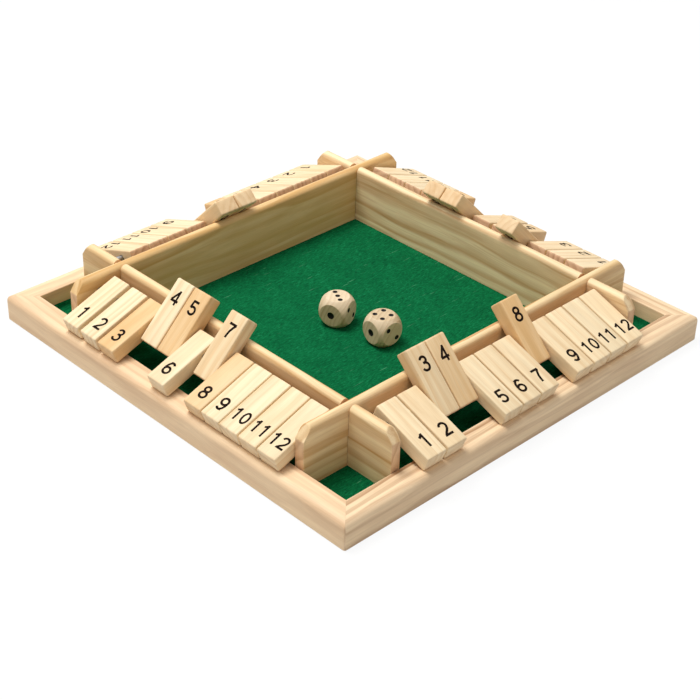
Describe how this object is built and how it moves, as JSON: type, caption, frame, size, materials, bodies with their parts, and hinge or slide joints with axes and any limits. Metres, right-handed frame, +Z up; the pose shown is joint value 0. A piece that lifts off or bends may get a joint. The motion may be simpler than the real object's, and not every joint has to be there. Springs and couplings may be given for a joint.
{
  "type": "shut the box game",
  "caption": "Square wooden tray game with a felt floor, crossed dividers, a row of numbered flip tiles on a rod along each side, and rounded dice.",
  "frame": {"origin": "middle of the tray's underside", "axes": "+Z up; +X and +Y along the tray's sides, the south row reading one to twelve along +X"},
  "size_m": [0.3, 0.3, 0.0568],
  "materials": {
    "tray": "bare pine, sanded",
    "felt": "green felt",
    "divider": "bare pine, sanded",
    "rod": "plain steel rod",
    "tile": "bare pine, printed numbers",
    "die": "bare hardwood, black drilled pips"
  },
  "bodies": {
    "board": {"tray": "tray", "felt": "felt", "divider_south": "divider", "divider_west": "divider", "divider_north": "divider", "divider_east": "divider", "rod_south": "rod", "rod_west": "rod", "rod_north": "rod", "rod_east": "rod"},
    "tile_south_01": {"tile_south_01": "tile"},
    "tile_south_02": {"tile_south_02": "tile"},
    "tile_south_03": {"tile_south_03": "tile"},
    "tile_south_04": {"tile_south_04": "tile"},
    "tile_south_05": {"tile_south_05": "tile"},
    "tile_south_06": {"tile_south_06": "tile"},
    "tile_south_07": {"tile_south_07": "tile"},
    "tile_south_08": {"tile_south_08": "tile"},
    "tile_south_09": {"tile_south_09": "tile"},
    "tile_south_10": {"tile_south_10": "tile"},
    "tile_south_11": {"tile_south_11": "tile"},
    "tile_south_12": {"tile_south_12": "tile"},
    "tile_west_01": {"tile_west_01": "tile"},
    "tile_west_02": {"tile_west_02": "tile"},
    "tile_west_03": {"tile_west_03": "tile"},
    "tile_west_04": {"tile_west_04": "tile"},
    "tile_west_05": {"tile_west_05": "tile"},
    "tile_west_06": {"tile_west_06": "tile"},
    "tile_west_07": {"tile_west_07": "tile"},
    "tile_west_08": {"tile_west_08": "tile"},
    "tile_west_09": {"tile_west_09": "tile"},
    "tile_west_10": {"tile_west_10": "tile"},
    "tile_west_11": {"tile_west_11": "tile"},
    "tile_west_12": {"tile_west_12": "tile"},
    "tile_north_01": {"tile_north_01": "tile"},
    "tile_north_02": {"tile_north_02": "tile"},
    "tile_north_03": {"tile_north_03": "tile"},
    "tile_north_04": {"tile_north_04": "tile"},
    "tile_north_05": {"tile_north_05": "tile"},
    "tile_north_06": {"tile_north_06": "tile"},
    "tile_north_07": {"tile_north_07": "tile"},
    "tile_north_08": {"tile_north_08": "tile"},
    "tile_north_09": {"tile_north_09": "tile"},
    "tile_north_10": {"tile_north_10": "tile"},
    "tile_north_11": {"tile_north_11": "tile"},
    "tile_north_12": {"tile_north_12": "tile"},
    "tile_east_01": {"tile_east_01": "tile"},
    "tile_east_02": {"tile_east_02": "tile"},
    "tile_east_03": {"tile_east_03": "tile"},
    "tile_east_04": {"tile_east_04": "tile"},
    "tile_east_05": {"tile_east_05": "tile"},
    "tile_east_06": {"tile_east_06": "tile"},
    "tile_east_07": {"tile_east_07": "tile"},
    "tile_east_08": {"tile_east_08": "tile"},
    "tile_east_09": {"tile_east_09": "tile"},
    "tile_east_10": {"tile_east_10": "tile"},
    "tile_east_11": {"tile_east_11": "tile"},
    "tile_east_12": {"tile_east_12": "tile"},
    "die_left": {"die_left": "die"},
    "die_right": {"die_right": "die"}
  },
  "joints": [
    {"name": "flip_south_01", "type": "hinge", "parent": "board", "child": "tile_south_01", "pos_m": [0, -0.118, 0.0321], "axis": [-1, 0, 0], "range_deg": [0, 154.7]},
    {"name": "flip_south_02", "type": "hinge", "parent": "board", "child": "tile_south_02", "pos_m": [0, -0.118, 0.0321], "axis": [-1, 0, 0], "range_deg": [0, 154.7]},
    {"name": "flip_south_03", "type": "hinge", "parent": "board", "child": "tile_south_03", "pos_m": [0, -0.118, 0.0321], "axis": [-1, 0, 0], "range_deg": [-154.7, 0]},
    {"name": "flip_south_04", "type": "hinge", "parent": "board", "child": "tile_south_04", "pos_m": [0, -0.118, 0.0321], "axis": [-1, 0, 0], "range_deg": [-154.7, 0]},
    {"name": "flip_south_05", "type": "hinge", "parent": "board", "child": "tile_south_05", "pos_m": [0, -0.118, 0.0321], "axis": [-1, 0, 0], "range_deg": [0, 154.7]},
    {"name": "flip_south_06", "type": "hinge", "parent": "board", "child": "tile_south_06", "pos_m": [0, -0.118, 0.0321], "axis": [-1, 0, 0], "range_deg": [0, 154.7]},
    {"name": "flip_south_07", "type": "hinge", "parent": "board", "child": "tile_south_07", "pos_m": [0, -0.118, 0.0321], "axis": [-1, 0, 0], "range_deg": [0, 154.7]},
    {"name": "flip_south_08", "type": "hinge", "parent": "board", "child": "tile_south_08", "pos_m": [0, -0.118, 0.0321], "axis": [-1, 0, 0], "range_deg": [-154.7, 0]},
    {"name": "flip_south_09", "type": "hinge", "parent": "board", "child": "tile_south_09", "pos_m": [0, -0.118, 0.0321], "axis": [-1, 0, 0], "range_deg": [0, 154.7]},
    {"name": "flip_south_10", "type": "hinge", "parent": "board", "child": "tile_south_10", "pos_m": [0, -0.118, 0.0321], "axis": [-1, 0, 0], "range_deg": [0, 154.7]},
    {"name": "flip_south_11", "type": "hinge", "parent": "board", "child": "tile_south_11", "pos_m": [0, -0.118, 0.0321], "axis": [-1, 0, 0], "range_deg": [0, 154.7]},
    {"name": "flip_south_12", "type": "hinge", "parent": "board", "child": "tile_south_12", "pos_m": [0, -0.118, 0.0321], "axis": [-1, 0, 0], "range_deg": [0, 154.7]},
    {"name": "flip_west_01", "type": "hinge", "parent": "board", "child": "tile_west_01", "pos_m": [-0.118, 0, 0.0321], "axis": [0, 1, 0], "range_deg": [0, 154.7]},
    {"name": "flip_west_02", "type": "hinge", "parent": "board", "child": "tile_west_02", "pos_m": [-0.118, 0, 0.0321], "axis": [0, 1, 0], "range_deg": [0, 154.7]},
    {"name": "flip_west_03", "type": "hinge", "parent": "board", "child": "tile_west_03", "pos_m": [-0.118, 0, 0.0321], "axis": [0, 1, 0], "range_deg": [0, 154.7]},
    {"name": "flip_west_04", "type": "hinge", "parent": "board", "child": "tile_west_04", "pos_m": [-0.118, 0, 0.0321], "axis": [0, 1, 0], "range_deg": [-154.7, 0]},
    {"name": "flip_west_05", "type": "hinge", "parent": "board", "child": "tile_west_05", "pos_m": [-0.118, 0, 0.0321], "axis": [0, 1, 0], "range_deg": [-154.7, 0]},
    {"name": "flip_west_06", "type": "hinge", "parent": "board", "child": "tile_west_06", "pos_m": [-0.118, 0, 0.0321], "axis": [0, 1, 0], "range_deg": [0, 154.7]},
    {"name": "flip_west_07", "type": "hinge", "parent": "board", "child": "tile_west_07", "pos_m": [-0.118, 0, 0.0321], "axis": [0, 1, 0], "range_deg": [-154.7, 0]},
    {"name": "flip_west_08", "type": "hinge", "parent": "board", "child": "tile_west_08", "pos_m": [-0.118, 0, 0.0321], "axis": [0, 1, 0], "range_deg": [0, 154.7]},
    {"name": "flip_west_09", "type": "hinge", "parent": "board", "child": "tile_west_09", "pos_m": [-0.118, 0, 0.0321], "axis": [0, 1, 0], "range_deg": [0, 154.7]},
    {"name": "flip_west_10", "type": "hinge", "parent": "board", "child": "tile_west_10", "pos_m": [-0.118, 0, 0.0321], "axis": [0, 1, 0], "range_deg": [0, 154.7]},
    {"name": "flip_west_11", "type": "hinge", "parent": "board", "child": "tile_west_11", "pos_m": [-0.118, 0, 0.0321], "axis": [0, 1, 0], "range_deg": [0, 154.7]},
    {"name": "flip_west_12", "type": "hinge", "parent": "board", "child": "tile_west_12", "pos_m": [-0.118, 0, 0.0321], "axis": [0, 1, 0], "range_deg": [0, 154.7]},
    {"name": "flip_north_01", "type": "hinge", "parent": "board", "child": "tile_north_01", "pos_m": [0, 0.118, 0.0321], "axis": [1, 0, 0], "range_deg": [0, 154.7]},
    {"name": "flip_north_02", "type": "hinge", "parent": "board", "child": "tile_north_02", "pos_m": [0, 0.118, 0.0321], "axis": [1, 0, 0], "range_deg": [0, 154.7]},
    {"name": "flip_north_03", "type": "hinge", "parent": "board", "child": "tile_north_03", "pos_m": [0, 0.118, 0.0321], "axis": [1, 0, 0], "range_deg": [0, 154.7]},
    {"name": "flip_north_04", "type": "hinge", "parent": "board", "child": "tile_north_04", "pos_m": [0, 0.118, 0.0321], "axis": [1, 0, 0], "range_deg": [0, 154.7]},
    {"name": "flip_north_05", "type": "hinge", "parent": "board", "child": "tile_north_05", "pos_m": [0, 0.118, 0.0321], "axis": [1, 0, 0], "range_deg": [0, 154.7]},
    {"name": "flip_north_06", "type": "hinge", "parent": "board", "child": "tile_north_06", "pos_m": [0, 0.118, 0.0321], "axis": [1, 0, 0], "range_deg": [0, 154.7]},
    {"name": "flip_north_07", "type": "hinge", "parent": "board", "child": "tile_north_07", "pos_m": [0, 0.118, 0.0321], "axis": [1, 0, 0], "range_deg": [-154.7, 0]},
    {"name": "flip_north_08", "type": "hinge", "parent": "board", "child": "tile_north_08", "pos_m": [0, 0.118, 0.0321], "axis": [1, 0, 0], "range_deg": [-154.7, 0]},
    {"name": "flip_north_09", "type": "hinge", "parent": "board", "child": "tile_north_09", "pos_m": [0, 0.118, 0.0321], "axis": [1, 0, 0], "range_deg": [0, 154.7]},
    {"name": "flip_north_10", "type": "hinge", "parent": "board", "child": "tile_north_10", "pos_m": [0, 0.118, 0.0321], "axis": [1, 0, 0], "range_deg": [0, 154.7]},
    {"name": "flip_north_11", "type": "hinge", "parent": "board", "child": "tile_north_11", "pos_m": [0, 0.118, 0.0321], "axis": [1, 0, 0], "range_deg": [0, 154.7]},
    {"name": "flip_north_12", "type": "hinge", "parent": "board", "child": "tile_north_12", "pos_m": [0, 0.118, 0.0321], "axis": [1, 0, 0], "range_deg": [0, 154.7]},
    {"name": "flip_east_01", "type": "hinge", "parent": "board", "child": "tile_east_01", "pos_m": [0.118, 0, 0.0321], "axis": [0, -1, 0], "range_deg": [0, 154.7]},
    {"name": "flip_east_02", "type": "hinge", "parent": "board", "child": "tile_east_02", "pos_m": [0.118, 0, 0.0321], "axis": [0, -1, 0], "range_deg": [0, 154.7]},
    {"name": "flip_east_03", "type": "hinge", "parent": "board", "child": "tile_east_03", "pos_m": [0.118, 0, 0.0321], "axis": [0, -1, 0], "range_deg": [0, 154.7]},
    {"name": "flip_east_04", "type": "hinge", "parent": "board", "child": "tile_east_04", "pos_m": [0.118, 0, 0.0321], "axis": [0, -1, 0], "range_deg": [-154.7, 0]},
    {"name": "flip_east_05", "type": "hinge", "parent": "board", "child": "tile_east_05", "pos_m": [0.118, 0, 0.0321], "axis": [0, -1, 0], "range_deg": [0, 154.7]},
    {"name": "flip_east_06", "type": "hinge", "parent": "board", "child": "tile_east_06", "pos_m": [0.118, 0, 0.0321], "axis": [0, -1, 0], "range_deg": [0, 154.7]},
    {"name": "flip_east_07", "type": "hinge", "parent": "board", "child": "tile_east_07", "pos_m": [0.118, 0, 0.0321], "axis": [0, -1, 0], "range_deg": [-154.7, 0]},
    {"name": "flip_east_08", "type": "hinge", "parent": "board", "child": "tile_east_08", "pos_m": [0.118, 0, 0.0321], "axis": [0, -1, 0], "range_deg": [-154.7, 0]},
    {"name": "flip_east_09", "type": "hinge", "parent": "board", "child": "tile_east_09", "pos_m": [0.118, 0, 0.0321], "axis": [0, -1, 0], "range_deg": [0, 154.7]},
    {"name": "flip_east_10", "type": "hinge", "parent": "board", "child": "tile_east_10", "pos_m": [0.118, 0, 0.0321], "axis": [0, -1, 0], "range_deg": [0, 154.7]},
    {"name": "flip_east_11", "type": "hinge", "parent": "board", "child": "tile_east_11", "pos_m": [0.118, 0, 0.0321], "axis": [0, -1, 0], "range_deg": [0, 154.7]},
    {"name": "flip_east_12", "type": "hinge", "parent": "board", "child": "tile_east_12", "pos_m": [0.118, 0, 0.0321], "axis": [0, -1, 0], "range_deg": [0, 154.7]},
    {"name": "lift_left", "type": "slide", "parent": "board", "child": "die_left", "axis": [0, 0, 1], "range_m": [0, 0.06]},
    {"name": "lift_right", "type": "slide", "parent": "board", "child": "die_right", "axis": [0, 0, 1], "range_m": [0, 0.06]}
  ]
}
